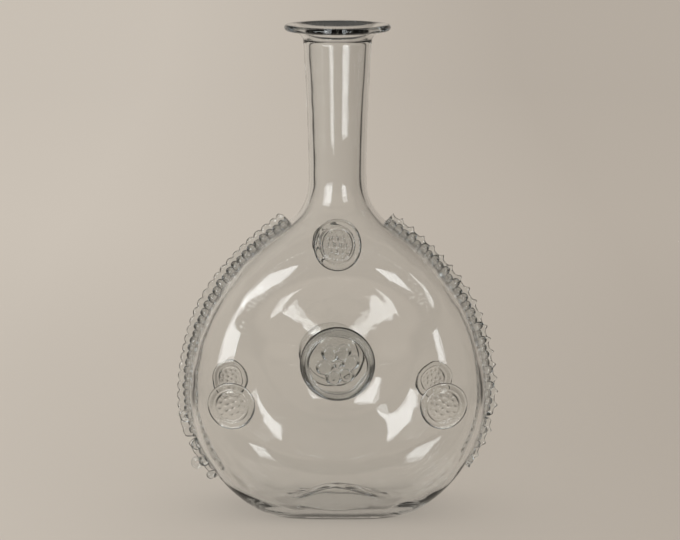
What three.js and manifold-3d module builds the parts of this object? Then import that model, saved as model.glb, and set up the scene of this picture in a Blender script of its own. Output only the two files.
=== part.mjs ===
import * as THREE from 'three';
import Module from 'manifold-3d';

const wasm = await Module();
wasm.setup();

// Flattened glass decanter: a blown flask dished on both faces, a flared mouth ring on its
// neck, a pinched glass trail down each narrow side and stamped seals on both faces.
// Millimetres, +Z up, front face towards -Y, origin at the centre of the foot.

// Overall size
const TOTAL_HEIGHT = 270;
const BULB_HALF_WIDTH = 82;
const BULB_HALF_DEPTH = 38;
const BULB_WIDEST_HEIGHT = 67;
const BULB_CLOSING_HEIGHT = 171;
const SHOULDER_POWER = 2 / 3;
const SECTION_POWER = 3.6;
const ROUND_POWER = 2;

// Neck
const LIP_HEIGHT = 8;
const NECK_WAIST_HEIGHT = 187;
const NECK_WAIST_RADIUS = 15.7;
const NECK_TOP_RADIUS = 18.6;
const NECK_FLARE_POWER = 1.6;
const SHOULDER_JOIN_HEIGHT = 157;
const FLATTENING_LENGTH = 84;

// Foot
const HEEL_HALF_WIDTH = 39.7;
const HEEL_RADIUS = 5;
const FOOT_HALF_DEPTH = 22.5;
const FOOT_FACE_WIDTH = 4.5;
const FOOT_BLEND_HEIGHT = 60;
const KICK_HEIGHT = 10.4;
const KICK_POWER = 1.3;

// Pressed dish in the middle of each face: a low cone for a floor, then a wall that steepens
// over its rise, runs straight and turns out into the face, the inset short of the flask's side
const DISH_HEIGHT = 86;
const DISH_TIP_RADIUS = 8;
const FRONT_DISH_HALF_GAP = 16.5;
const FRONT_DISH_FLOOR_RADIUS = 12;
const FRONT_DISH_FLOOR_SHARE = 0;
const FRONT_DISH_RISE = 16;
const FRONT_DISH_STRAIGHT = 10;
const FRONT_DISH_INSET = 23;
const BACK_DISH_HALF_GAP = 7.5;
const BACK_DISH_FLOOR_RADIUS = 38;
const BACK_DISH_FLOOR_SHARE = 0.36;
const BACK_DISH_RISE = 1;
const BACK_DISH_STRAIGHT = 15;
const BACK_DISH_INSET = 5;

// Glass walls
const BULB_WALL = 2.4;
const NECK_WALL = 3.5;
const BASE_WALL = 4;

// Mouth ring
const LIP_RADIUS = 28.8;
const LIP_RIM_RADIUS = 2.2;
const LIP_FLARE_LEAN = 0.4;

// Side trails
const TRAIL_TOP_HEIGHT = 162;
const LEFT_TRAIL_END_HEIGHT = 20;
const RIGHT_TRAIL_END_HEIGHT = 26;
const TRAIL_HALF_WIDTH = 4.2;
const TRAIL_STRIP_HEIGHT = 3;
const TRAIL_FIN_HALF_THICKNESS = 1.3;
const TRAIL_TIP_HEIGHT = 7.4;
const TRAIL_SCALLOP_DEPTH = 1.8;
const TRAIL_PINCH_SHARE = 0.22;
const TRAIL_CREST_SHARE = 0.6;
const STRIP_SHOULDER_WIDTH_SHARE = 0.85;
const STRIP_SHOULDER_HEIGHT_SHARE = 0.7;
const TOOTH_PITCH = 4.3;
const TRAIL_TAPER_LENGTH = 6;
const TRAIL_TOP_SHARE = 0.85;
const TRAIL_END_SHARE = 0.35;
const TAIL_LENGTH = 9;
const TAIL_LIFT = 3.2;

// Seals: the large one in each dish, and the small ones round it
const LARGE_SEAL_RADIUS = 20.5;
const BACK_LARGE_SEAL_RADIUS = 18.6;
const LARGE_SEAL_RIM_HEIGHT = 4.2;
const SMALL_SEAL_RADIUS = 12.8;
const BACK_SMALL_SEAL_RADIUS = 11;
const SMALL_SEAL_RIM_HEIGHT = 2.8;
const SEAL_EDGE_SHARE = 0.35;
const SEAL_FIELD_SHARE = 0.3;
const SEAL_RIM_PLACE = 0.88;
const SEAL_RIM_SPREAD = 0.13;
const ROSETTE_SHARE = 0.6;
const ROSETTE_RELIEF_SHARE = 0.45;
const PETAL_COUNT = 6;
const PETAL_NOTCH_REACH = 0.72;
const PETAL_NOTCH_RELIEF = 0.45;
const SIDE_SEAL_INSET = 24.5;
const SIDE_SEAL_HEIGHT = 66.5;
const TOP_SEAL_HEIGHT = 154;
const BACK_TOP_SEAL_HEIGHT = 146;
const BACK_SEAL_SHIFT = -3.5;

// Clearance between the glass pieces that are fused on the real flask, and how far the
// underside of a trail or seal starts inside the wall before it is cut to its seat
const SEAT_GAP = 0.3;
const SEAT_SINK = 1;

// Distance between the two places whose difference gives a slope of the glass
const SLOPE_STEP = 0.2;

// Finish
const GLASS_COLOUR = 0xd6dbd2;
const GLASS_ROUGHNESS = 0.05;

// Facet counts
const FLASK_SIDES = 40;
const WALL_RINGS = 25;
const INNER_WALL_RING_STEP = 2;
const NECK_RINGS = 4;
const KICK_RINGS = 5;
const HEEL_RINGS = 3;
const LIP_SIDES = 32;
const LIP_CURVE_STEPS = 4;
const STEPS_PER_TOOTH = 3;
const TRAIL_PATH_SAMPLES = 60;
const LARGE_SEAL_SIDES = 30;
const SMALL_SEAL_SIDES = 18;
const SEAL_BED_SHARES = [0.5, 1];
const SEAL_RELIEF_SHARES = [1, 0.96, SEAL_RIM_PLACE, 0.77, ROSETTE_SHARE, 0.45, 0.3, 0.14];

const NECK_TOP_HEIGHT = TOTAL_HEIGHT - LIP_HEIGHT;
const BORE_TOP_RADIUS = NECK_TOP_RADIUS - NECK_WALL;
const SIDE_SEAL_OFFSET = BULB_HALF_WIDTH - SIDE_SEAL_INSET;
const FRONT = -1;
const BACK = 1;
const LEFT = -1;
const RIGHT = 1;
const FRONT_DISH = {
  halfGap: FRONT_DISH_HALF_GAP,
  floorRadius: FRONT_DISH_FLOOR_RADIUS,
  floorShare: FRONT_DISH_FLOOR_SHARE,
  rise: FRONT_DISH_RISE,
  straight: FRONT_DISH_STRAIGHT,
  radius: BULB_HALF_WIDTH - FRONT_DISH_INSET,
};
const BACK_DISH = {
  halfGap: BACK_DISH_HALF_GAP,
  floorRadius: BACK_DISH_FLOOR_RADIUS,
  floorShare: BACK_DISH_FLOOR_SHARE,
  rise: BACK_DISH_RISE,
  straight: BACK_DISH_STRAIGHT,
  radius: BULB_HALF_WIDTH - BACK_DISH_INSET,
};

function lerp(a, b, share) {
  return a + (b - a) * share;
}

function smoothstep(low, high, value) {
  const share = THREE.MathUtils.clamp((value - low) / (high - low), 0, 1);
  return share * share * (3 - 2 * share);
}

// Half-width of the bulb alone: a pear-shaped upper curve and an elliptical lower one
function bulbHalfWidth(z) {
  if (z >= BULB_WIDEST_HEIGHT) {
    const rise = Math.min(1, (z - BULB_WIDEST_HEIGHT) / (BULB_CLOSING_HEIGHT - BULB_WIDEST_HEIGHT));
    return BULB_HALF_WIDTH * (1 - rise * rise) ** SHOULDER_POWER;
  }
  const heelShare = HEEL_HALF_WIDTH / BULB_HALF_WIDTH;
  const drop = (1 - z / BULB_WIDEST_HEIGHT) * Math.sqrt(1 - heelShare * heelShare);
  return BULB_HALF_WIDTH * Math.sqrt(1 - drop * drop);
}

function neckRadius(z) {
  const rise = (z - NECK_WAIST_HEIGHT) / (NECK_TOP_HEIGHT - NECK_WAIST_HEIGHT);
  return lerp(NECK_WAIST_RADIUS, NECK_TOP_RADIUS, Math.max(0, rise) ** NECK_FLARE_POWER);
}

// Concave sweep from the neck's waist into the shoulder, tangent to both
function shoulderHalfWidth(z) {
  const span = NECK_WAIST_HEIGHT - SHOULDER_JOIN_HEIGHT;
  const t = (NECK_WAIST_HEIGHT - z) / span;
  const joinWidth = bulbHalfWidth(SHOULDER_JOIN_HEIGHT);
  const widthBelow = bulbHalfWidth(SHOULDER_JOIN_HEIGHT - SLOPE_STEP / 2);
  const widthAbove = bulbHalfWidth(SHOULDER_JOIN_HEIGHT + SLOPE_STEP / 2);
  const joinSlope = (widthBelow - widthAbove) / SLOPE_STEP;
  const blend = t * t * (3 - 2 * t);
  return lerp(NECK_WAIST_RADIUS, joinWidth, blend) + (t * t * t - t * t) * span * joinSlope;
}

function halfWidth(z) {
  if (z >= NECK_WAIST_HEIGHT) {
    return neckRadius(z);
  }
  if (z > SHOULDER_JOIN_HEIGHT) {
    return shoulderHalfWidth(z);
  }
  const heelDrop = Math.max(0, 1 - z / HEEL_RADIUS);
  return bulbHalfWidth(z) - HEEL_RADIUS * (1 - Math.sqrt(1 - heelDrop * heelDrop));
}

// How far the flask is flattened at a height: 0 on the round neck, 1 on the bulb
function flattening(z) {
  return 1 - smoothstep(NECK_WAIST_HEIGHT - FLATTENING_LENGTH, NECK_WAIST_HEIGHT, z);
}

function halfDepth(z) {
  const bulbRatio = BULB_HALF_DEPTH / BULB_HALF_WIDTH;
  const footRatio = FOOT_HALF_DEPTH / halfWidth(0);
  const lowRatio = lerp(footRatio, bulbRatio, smoothstep(0, FOOT_BLEND_HEIGHT, z));
  return halfWidth(z) * lerp(1, lowRatio, flattening(z));
}

function sectionPower(z) {
  return lerp(ROUND_POWER, SECTION_POWER, flattening(z));
}

// Share of the conical floor's height still below a place in a dish, 1 at its tip
function dishFloor(dish, reach) {
  const edge = Math.hypot(dish.floorRadius, DISH_TIP_RADIUS);
  const here = Math.hypot(Math.min(reach, dish.floorRadius), DISH_TIP_RADIUS);
  return (edge - here) / (edge - DISH_TIP_RADIUS);
}

// Share of the wall's height still above a place in a dish, 1 over the whole floor
function dishWall(dish, reach) {
  const { clamp } = THREE.MathUtils;
  const turnLength = dish.radius - dish.floorRadius - dish.rise - dish.straight;
  const rise = clamp(reach - dish.floorRadius, 0, dish.rise);
  const straight = clamp(reach - dish.floorRadius - dish.rise, 0, dish.straight);
  const turn = clamp(reach - dish.radius + turnLength, 0, turnLength);
  const climbed = rise ** 2 / (2 * dish.rise) + straight + turn - turn ** 2 / (2 * turnLength);
  return 1 - climbed / (dish.rise / 2 + dish.straight + turnLength / 2);
}

// Share of the depth that the pressed dish leaves at a place on a face
function dishShare(face, x, z) {
  const dish = face === FRONT ? FRONT_DISH : BACK_DISH;
  const reach = Math.hypot(x, z - DISH_HEIGHT);
  const press = 1 - dish.halfGap / halfDepth(DISH_HEIGHT);
  return 1 - press * lerp(dishWall(dish, reach), dishFloor(dish, reach), dish.floorShare);
}

function faceDepth(face, x, z) {
  const power = sectionPower(z);
  const across = Math.min(1, Math.abs(x) / halfWidth(z)) ** power;
  return halfDepth(z) * (1 - across) ** (1 / power) * dishShare(face, x, z);
}

function wallThickness(z) {
  const upper = lerp(BULB_WALL, NECK_WALL, smoothstep(SHOULDER_JOIN_HEIGHT, NECK_WAIST_HEIGHT, z));
  return lerp(BASE_WALL, upper, smoothstep(0, FOOT_BLEND_HEIGHT, z));
}

// Closed body through rings of points, with a tip point closing each end
function loftGeometry(firstTip, rings, lastTip) {
  const points = [firstTip, ...rings.flat(), lastTip];
  const sides = rings[0].length;
  const index = [];
  const last = points.length - 1;
  const lastStart = 1 + (rings.length - 1) * sides;
  for (let i = 0; i < sides; i += 1) {
    const next = (i + 1) % sides;
    index.push(0, 1 + next, 1 + i);
    index.push(last, lastStart + i, lastStart + next);
    for (let k = 0; k + 1 < rings.length; k += 1) {
      const low = 1 + k * sides;
      const high = low + sides;
      index.push(low + i, low + next, high + next);
      index.push(low + i, high + next, high + i);
    }
  }
  let volume = 0;
  for (let i = 0; i < index.length; i += 3) {
    const [a, b, c] = [points[index[i]], points[index[i + 1]], points[index[i + 2]]];
    volume += a.dot(new THREE.Vector3().crossVectors(b, c));
  }
  const geometry = new THREE.BufferGeometry().setFromPoints(points);
  geometry.setIndex(volume > 0 ? index : index.reverse());
  geometry.computeVertexNormals();
  return geometry;
}

function toSolid(geometry) {
  const vertProperties = new Float32Array(geometry.getAttribute('position').array);
  const triVerts = new Uint32Array(geometry.getIndex().array);
  return new wasm.Manifold(new wasm.Mesh({ numProp: 3, vertProperties, triVerts }));
}

function toGeometry(solid) {
  const { vertProperties, triVerts } = solid.getMesh();
  const geometry = new THREE.BufferGeometry();
  geometry.setAttribute('position', new THREE.BufferAttribute(vertProperties, 3));
  geometry.setIndex(new THREE.BufferAttribute(triVerts, 1));
  geometry.computeVertexNormals();
  return geometry;
}

function glassMesh(name, geometry) {
  const material = new THREE.MeshStandardMaterial({
    color: GLASS_COLOUR,
    roughness: GLASS_ROUGHNESS,
    metalness: 0,
  });
  const mesh = new THREE.Mesh(geometry, material);
  mesh.name = name;
  return mesh;
}

function angles(count) {
  return Array.from({ length: count }, (_, i) => (2 * Math.PI * i) / count);
}

// Even steps from low towards high, without the last
function steps(low, high, count) {
  return Array.from({ length: count }, (_, i) => lerp(low, high, i / count));
}

// Ring of the flask's outer wall at a height
function wallRing(z) {
  return angles(FLASK_SIDES).map((angle) => {
    const x = halfWidth(z) * Math.cos(angle);
    const face = Math.sin(angle) < 0 ? FRONT : BACK;
    return new THREE.Vector3(x, face * faceDepth(face, x, z), z);
  });
}

// Ring of the pushed-up underside, at a share of the foot face's inner outline
function kickRing(share) {
  const foot = wallRing(0);
  const widthShare = (share * (halfWidth(0) - FOOT_FACE_WIDTH)) / halfWidth(0);
  const depthShare = (share * (FOOT_HALF_DEPTH - FOOT_FACE_WIDTH)) / FOOT_HALF_DEPTH;
  const z = KICK_HEIGHT * (1 - share * share) ** KICK_POWER;
  return foot.map((p) => new THREE.Vector3(p.x * widthShare, p.y * depthShare, z));
}

// Heights of the wall rings, from the floor to the neck's top
function wallHeights() {
  const heel = steps(0, 1, HEEL_RINGS).map((share) => HEEL_RADIUS * share * share);
  const bulb = steps(HEEL_RADIUS, NECK_WAIST_HEIGHT, WALL_RINGS);
  const neck = steps(NECK_WAIST_HEIGHT, NECK_TOP_HEIGHT, NECK_RINGS);
  return [...heel, ...bulb, ...neck, NECK_TOP_HEIGHT];
}

// Points of a ring moved outwards, square to the surface between its two neighbours
function offsetRing(below, ring, above, distance) {
  return ring.map((point, i) => {
    const next = ring[(i + 1) % ring.length];
    const previous = ring[(i + ring.length - 1) % ring.length];
    const along = new THREE.Vector3().subVectors(next, previous);
    const up = new THREE.Vector3().subVectors(above[i], below[i]);
    const outward = along.cross(up).normalize();
    return point.clone().addScaledVector(outward, distance);
  });
}

// The flask's outer form as a solid, a clearance larger, which cuts the seats of what is
// fused to it
function seatCutter() {
  const wall = wallHeights().map(wallRing);
  const grown = wall.map((ring, k) => (
    offsetRing(wall[Math.max(0, k - 1)], ring, wall[Math.min(wall.length - 1, k + 1)], SEAT_GAP)
  ));
  const floor = new THREE.Vector3(0, 0, 0);
  return toSolid(loftGeometry(floor, grown, new THREE.Vector3(0, 0, NECK_TOP_HEIGHT)));
}

function seated(geometry) {
  return toGeometry(toSolid(geometry).subtract(flaskSeat));
}

function flaskBody() {
  const kick = Array.from({ length: KICK_RINGS }, (_, i) => kickRing((i + 1) / KICK_RINGS));
  const wall = wallHeights().map(wallRing);
  const outer = [...kick, ...wall];
  const inner = [];
  const heelTop = kick.length + HEEL_RINGS;
  for (let k = outer.length - 2; k > 0; k -= k > heelTop ? INNER_WALL_RING_STEP : 1) {
    const z = outer[k][0].z;
    const thickness = k < kick.length ? BASE_WALL : wallThickness(z);
    inner.push(offsetRing(outer[k - 1], outer[k], outer[k + 1], -thickness));
  }
  const boreShare = BORE_TOP_RADIUS / NECK_TOP_RADIUS;
  const mouth = wall.at(-1).map((p) => new THREE.Vector3(p.x * boreShare, p.y * boreShare, p.z));
  const kickTop = new THREE.Vector3(0, 0, KICK_HEIGHT);
  const innerTop = new THREE.Vector3(0, 0, KICK_HEIGHT + BASE_WALL);
  return loftGeometry(kickTop, [...outer, mouth, ...inner], innerTop);
}

function lipRing() {
  const seat = NECK_TOP_HEIGHT + SEAT_GAP;
  const rimCentre = new THREE.Vector2(LIP_RADIUS - LIP_RIM_RADIUS, TOTAL_HEIGHT - LIP_RIM_RADIUS);
  const rise = rimCentre.y - seat;
  const profile = new THREE.Path();
  profile.moveTo(BORE_TOP_RADIUS, seat);
  profile.quadraticCurveTo(
    BORE_TOP_RADIUS + rise * LIP_FLARE_LEAN,
    TOTAL_HEIGHT,
    rimCentre.x,
    TOTAL_HEIGHT,
  );
  profile.absarc(rimCentre.x, rimCentre.y, LIP_RIM_RADIUS, Math.PI / 2, -Math.PI / 2, true);
  profile.quadraticCurveTo(
    NECK_TOP_RADIUS + rise * LIP_FLARE_LEAN,
    rimCentre.y - LIP_RIM_RADIUS,
    NECK_TOP_RADIUS,
    seat,
  );
  const points = profile.getPoints(LIP_CURVE_STEPS).reverse();
  points.push(points[0].clone());
  const geometry = new THREE.LatheGeometry(points, LIP_SIDES);
  geometry.rotateX(Math.PI / 2);
  return geometry;
}

// Side outline of the flask that a trail follows, as distance from the axis and height
function trailPath(endHeight) {
  const points = Array.from({ length: TRAIL_PATH_SAMPLES + 1 }, (_, i) => {
    const z = lerp(TRAIL_TOP_HEIGHT, endHeight, i / TRAIL_PATH_SAMPLES);
    return new THREE.Vector2(halfWidth(z), z);
  });
  return new THREE.SplineCurve(points);
}

// Section of a pinched trail: a strip on the glass with a thin scalloped fin standing on it
function trailSection(path, distance, length, widest, side) {
  const point = path.getPointAt(distance / length);
  const tangent = path.getTangentAt(distance / length);
  const normal = new THREE.Vector2(-tangent.y, tangent.x);
  const scallop = Math.sin((Math.PI * (distance - widest)) / TOOTH_PITCH) ** 2;
  const topTaper = lerp(TRAIL_TOP_SHARE, 1, smoothstep(0, TRAIL_TAPER_LENGTH, distance));
  const endTaper = lerp(TRAIL_END_SHARE, 1, smoothstep(0, TRAIL_TAPER_LENGTH, length - distance));
  const taper = topTaper * endTaper;
  const tail = smoothstep(length - TAIL_LENGTH, length, distance);
  const width = TRAIL_HALF_WIDTH * (1 - TRAIL_PINCH_SHARE * (1 - scallop)) * taper;
  const strip = TRAIL_STRIP_HEIGHT * taper;
  const fin = TRAIL_FIN_HALF_THICKNESS * taper;
  const crest = (TRAIL_TIP_HEIGHT - TRAIL_SCALLOP_DEPTH * scallop) * taper;
  const outline = [
    [width, -SEAT_SINK],
    [width * STRIP_SHOULDER_WIDTH_SHARE, strip * STRIP_SHOULDER_HEIGHT_SHARE],
    [fin, strip],
    [fin * TRAIL_CREST_SHARE, crest],
    [-fin * TRAIL_CREST_SHARE, crest],
    [-fin, strip],
    [-width * STRIP_SHOULDER_WIDTH_SHARE, strip * STRIP_SHOULDER_HEIGHT_SHARE],
    [-width, -SEAT_SINK],
  ];
  return outline.map(([y, height]) => {
    const lift = SEAT_GAP + height + TAIL_LIFT * tail * tail;
    return new THREE.Vector3(side * (point.x + normal.x * lift), y, point.y + normal.y * lift);
  });
}

function ringCentre(ring) {
  const sum = ring.reduce((total, point) => total.add(point), new THREE.Vector3());
  return sum.divideScalar(ring.length);
}

// A trail has a tooth at the flask's widest level, and the others are counted from there
function sideTrail(side, endHeight) {
  const path = trailPath(endHeight);
  const length = path.getLength();
  const widest = trailPath(BULB_WIDEST_HEIGHT).getLength();
  const step = TOOTH_PITCH / STEPS_PER_TOOTH;
  const stepsAbove = Math.round(widest / step) - 1;
  const stepsBelow = Math.round((length - widest) / step) - 1;
  const distances = [0];
  for (let k = -stepsAbove; k <= stepsBelow; k += 1) {
    distances.push(widest + k * step);
  }
  distances.push(length);
  const sections = distances.map((distance) => trailSection(path, distance, length, widest, side));
  return seated(loftGeometry(ringCentre(sections[0]), sections, ringCentre(sections.at(-1))));
}

// Point on a face of the flask, raised square to the glass
function facePoint(face, x, z, height) {
  const half = SLOPE_STEP / 2;
  const slopeX = (faceDepth(face, x + half, z) - faceDepth(face, x - half, z)) / SLOPE_STEP;
  const slopeZ = (faceDepth(face, x, z + half) - faceDepth(face, x, z - half)) / SLOPE_STEP;
  const outward = new THREE.Vector3(-slopeX, face, -slopeZ).normalize();
  return new THREE.Vector3(x, face * faceDepth(face, x, z), z).addScaledVector(outward, height);
}

// Relief of a stamped seal: rounded edge, rolled rim, sunk field and a petalled rosette
function sealRelief(share, angle, rimHeight) {
  const field = rimHeight * SEAL_FIELD_SHARE;
  const fromRim = (share - SEAL_RIM_PLACE) / SEAL_RIM_SPREAD;
  const base = share > SEAL_RIM_PLACE ? rimHeight * SEAL_EDGE_SHARE : field;
  const roll = Math.max(0, 1 - fromRim * fromRim);
  const petal = Math.abs(Math.cos((PETAL_COUNT * angle) / 2));
  const reach = Math.min(1, share / (ROSETTE_SHARE * lerp(PETAL_NOTCH_REACH, 1, petal)));
  const petalRelief = rimHeight * ROSETTE_RELIEF_SHARE * lerp(PETAL_NOTCH_RELIEF, 1, petal);
  return lerp(base, rimHeight, roll) + petalRelief * Math.sin(Math.PI * reach);
}

function sealGeometry(face, x, z, radius, rimHeight, sides) {
  const place = (share, angle, height) => facePoint(
    face,
    x + radius * share * Math.cos(angle),
    z + radius * share * Math.sin(angle),
    SEAT_GAP + height,
  );
  const bed = SEAL_BED_SHARES.map((share) => angles(sides).map((angle) => place(share, angle, -SEAT_SINK)));
  const relief = SEAL_RELIEF_SHARES.map((share) => angles(sides).map((angle) => (
    place(share, angle, sealRelief(share, angle, rimHeight))
  )));
  const crown = place(0, 0, sealRelief(0, 0, rimHeight));
  return seated(loftGeometry(place(0, 0, -SEAT_SINK), [...bed, ...relief], crown));
}

function largeSeal(face, x, z, radius) {
  return sealGeometry(face, x, z, radius, LARGE_SEAL_RIM_HEIGHT, LARGE_SEAL_SIDES);
}

function smallSeal(face, x, z, radius) {
  return sealGeometry(face, x, z, radius, SMALL_SEAL_RIM_HEIGHT, SMALL_SEAL_SIDES);
}

const flaskSeat = seatCutter();
const decanter = new THREE.Group();
decanter.add(glassMesh('flask_body', flaskBody()));
decanter.add(glassMesh('lip_ring', lipRing()));
decanter.add(glassMesh('left_trail', sideTrail(LEFT, LEFT_TRAIL_END_HEIGHT)));
decanter.add(glassMesh('right_trail', sideTrail(RIGHT, RIGHT_TRAIL_END_HEIGHT)));
const faceSeals = [
  {
    name: 'front',
    face: FRONT,
    shift: 0,
    largeRadius: LARGE_SEAL_RADIUS,
    smallRadius: SMALL_SEAL_RADIUS,
    topHeight: TOP_SEAL_HEIGHT,
  },
  {
    name: 'back',
    face: BACK,
    shift: BACK_SEAL_SHIFT,
    largeRadius: BACK_LARGE_SEAL_RADIUS,
    smallRadius: BACK_SMALL_SEAL_RADIUS,
    topHeight: BACK_TOP_SEAL_HEIGHT,
  },
];
for (const { name, face, shift, largeRadius, smallRadius, topHeight } of faceSeals) {
  const leftX = shift - SIDE_SEAL_OFFSET;
  const rightX = shift + SIDE_SEAL_OFFSET;
  const centre = largeSeal(face, shift, DISH_HEIGHT, largeRadius);
  const top = smallSeal(face, shift, topHeight, smallRadius);
  const left = smallSeal(face, leftX, SIDE_SEAL_HEIGHT, smallRadius);
  const right = smallSeal(face, rightX, SIDE_SEAL_HEIGHT, smallRadius);
  decanter.add(glassMesh(`${name}_centre_prunt`, centre));
  decanter.add(glassMesh(`${name}_top_prunt`, top));
  decanter.add(glassMesh(`${name}_left_prunt`, left));
  decanter.add(glassMesh(`${name}_right_prunt`, right));
}

export default decanter;
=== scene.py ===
import math

import bpy
import numpy as np
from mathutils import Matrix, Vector


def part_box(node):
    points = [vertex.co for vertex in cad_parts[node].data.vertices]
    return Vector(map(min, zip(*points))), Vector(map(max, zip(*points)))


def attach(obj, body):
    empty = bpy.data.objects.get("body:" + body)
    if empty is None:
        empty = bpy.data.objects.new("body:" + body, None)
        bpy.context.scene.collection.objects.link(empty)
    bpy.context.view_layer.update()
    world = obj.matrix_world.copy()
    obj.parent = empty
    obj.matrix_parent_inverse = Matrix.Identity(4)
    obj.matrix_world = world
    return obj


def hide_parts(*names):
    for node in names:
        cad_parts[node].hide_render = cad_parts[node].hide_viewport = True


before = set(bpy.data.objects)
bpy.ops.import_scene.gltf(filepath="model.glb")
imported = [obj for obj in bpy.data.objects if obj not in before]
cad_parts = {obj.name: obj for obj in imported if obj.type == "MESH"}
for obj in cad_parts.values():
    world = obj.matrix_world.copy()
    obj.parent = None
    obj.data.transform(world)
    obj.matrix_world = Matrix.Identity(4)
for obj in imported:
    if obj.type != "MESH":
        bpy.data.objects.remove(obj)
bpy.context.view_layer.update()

# Hand-blown flattened decanter. Lengths are in millimetres until a mesh is made in metres.
MM = 0.001

FRONT = -1
BACK = 1
LEFT = -1
RIGHT = 1

# Flask: the laws of its outline, section and walls
NECK_TOP_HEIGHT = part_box("flask_body")[1].z / MM
MOUTH_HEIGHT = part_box("lip_ring")[1].z / MM
LIP_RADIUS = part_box("lip_ring")[1].x / MM
BULB_HALF_WIDTH = 82
BULB_HALF_DEPTH = 37.3
BULB_WIDEST_HEIGHT = 67
BULB_CLOSING_HEIGHT = 171
SHOULDER_POWER = 2 / 3
SECTION_POWER = 3.6
ROUND_POWER = 2
NECK_WAIST_HEIGHT = 187
NECK_WAIST_RADIUS = 15.7
NECK_TOP_RADIUS = 18.6
NECK_FLARE_POWER = 1.6
SHOULDER_JOIN_HEIGHT = 157
FLATTENING_LENGTH = 84
HEEL_HALF_WIDTH = 39.7
HEEL_RADIUS = 5
FOOT_HALF_DEPTH = 22.5
FOOT_FACE_WIDTH = 4.5
FOOT_BLEND_HEIGHT = 60
KICK_HEIGHT = 10.4
KICK_POWER = 1.9
BULB_WALL = 2.4
NECK_WALL = 3.5
KICK_WALL = 3
HEEL_WALL = 4
HEEL_WALL_HEIGHT = 20
HEEL_WALL_START = 0.75
SLOPE_STEP = 0.2

# Pressed dishes: a low cone for a floor, then a wall that steepens over its rise, runs straight
# and turns out into the face
DISH_HEIGHT = 86
DISH_TIP_RADIUS = 8
FRONT_DISH_INSET = 23
BACK_DISH_INSET = 5
DISHES = {
    FRONT: {
        "half_gap": 16.5, "floor": 12, "floor_share": 0, "rise": 16, "straight": 10,
        "radius": BULB_HALF_WIDTH - FRONT_DISH_INSET,
    },
    BACK: {
        "half_gap": 7.5, "floor": 38, "floor_share": 0.36, "rise": 3, "straight": 14,
        "radius": BULB_HALF_WIDTH - BACK_DISH_INSET,
    },
}

# Fineness of the flask's mesh
FACE_SIDES = 112
OUTLINE_SAMPLES = 400
HEEL_RINGS = 12
WALL_RINGS = 150
NECK_RINGS = 30
KICK_RINGS = 24

# Waves that the blowing and the pressing left in the wall. A wave is two crossing sines, each with
# its rates along x, y and z and its start.
WALL_WAVE_HEIGHT = 0.06
WALL_WAVE_LENGTH = 9
DISH_WAVE_HEIGHT = 0.05
DISH_WAVE_LENGTH = 4
DISH_WAVE_REACH = 60
LONG_WAVE = ((2.1, 0, 1.3, 0.7), (0, -0.9, 1.7, 2.1))
SHORT_WAVE = ((3.3, 0, -2.4, 4.0), (0, 2.9, 1.9, 0))
SHORT_WAVE_BEND = 1.1
SHORT_WAVE_SHARE = 0.6

# Mouth ring
LIP_RIM_RADIUS = 1.7
LIP_FLARE_LEAN = 0.4
LIP_SEAT_GAP = 0.1
LIP_SEAT_PROUD = 0.25
LIP_SIDES = 128
LIP_CURVE_STEPS = 20

# Side trails: a row of pinched beads on the glass and a thin fin over them with a bitten crest
TRAIL_TOP_HEIGHT = 162
TRAIL_TIP_HEIGHT = 7.5
TRAIL_SINK = 0.7
BEAD_PITCH = 4.3
BEAD_DEPTH = 2.5
BEAD_SPREAD = 0.47
BEAD_END_POWER = 2.4
BEAD_TOP_POWER = 3
BEAD_SIZE_SWING = 0.1
BEAD_SIZE_RATE = 2.2
FIN_FOOT_THICKNESS = 1.3
FIN_CREST_THICKNESS = 1.1
CREST_ROUNDING = 1.3
CREST_EDGE_LIMIT = 0.999
CREST_SWAY = 0.35
CREST_SWELL = 0.4
CREST_SWELL_LENGTH = 11
CREST_SWELL_START = 2
TRAIL_TOP_SHARE = 0.85
TRAIL_TOP_TAPER_LENGTH = 2
TRAIL_END_TAPER_LENGTH = 5
TAIL_LENGTH = 9
TRAIL_STEP = 0.25
TRAIL_LEVELS = 30
CURL_SIDES = 32

# Unsteady hand of the maker along a trail: how far a pinch strays, over what length, and its start
PINCH_DRIFT = ((0.5, 17, 0), (0.35, 7.3, 1))

# The two trails as the maker left them: crest bites, bead sizes and the breaks in the pull
LEFT_TRAIL = {
    "end": 20, "beads": (3.5, 3.3), "crest_pitch": 5.2, "bite": 1.3, "hook": 0.04, "scallop": 1,
    "breaks": (141, 163), "plain_from": 122, "low_end": 0.82, "end_taper": 0.75, "tail_lift": 1.2,
}
RIGHT_TRAIL = {
    "end": 26, "beads": (4.2, 3.0), "crest_pitch": 7.2, "bite": 1.9, "hook": 0.13, "scallop": 0,
    "breaks": (129,), "plain_from": 400, "low_end": 0.85, "end_taper": 0.4, "tail_lift": 3,
}
BREAK_WIDTH = 1.1
BREAK_DEPTH = 0.75
BREAK_THICKNESS_SPARED = 0.25
PLAIN_FADE_LENGTH = 12
PLAIN_BITE_LOSS = 0.75
LOW_END_LEAD = 6

# Loops and drops in the torn tail of the left trail: x, z and radius, and a loop's thickness
LEFT_TAIL_CURLS = ((-84.4, 52.4, 2.1, 1.4), (-78.3, 25.6, 2.3, 1.2))
LEFT_TAIL_DROPLETS = ((-78.6, 35.8, 2.9), (-74.4, 26.6, 3.1), (-71.0, 18.4, 2.3))

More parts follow.
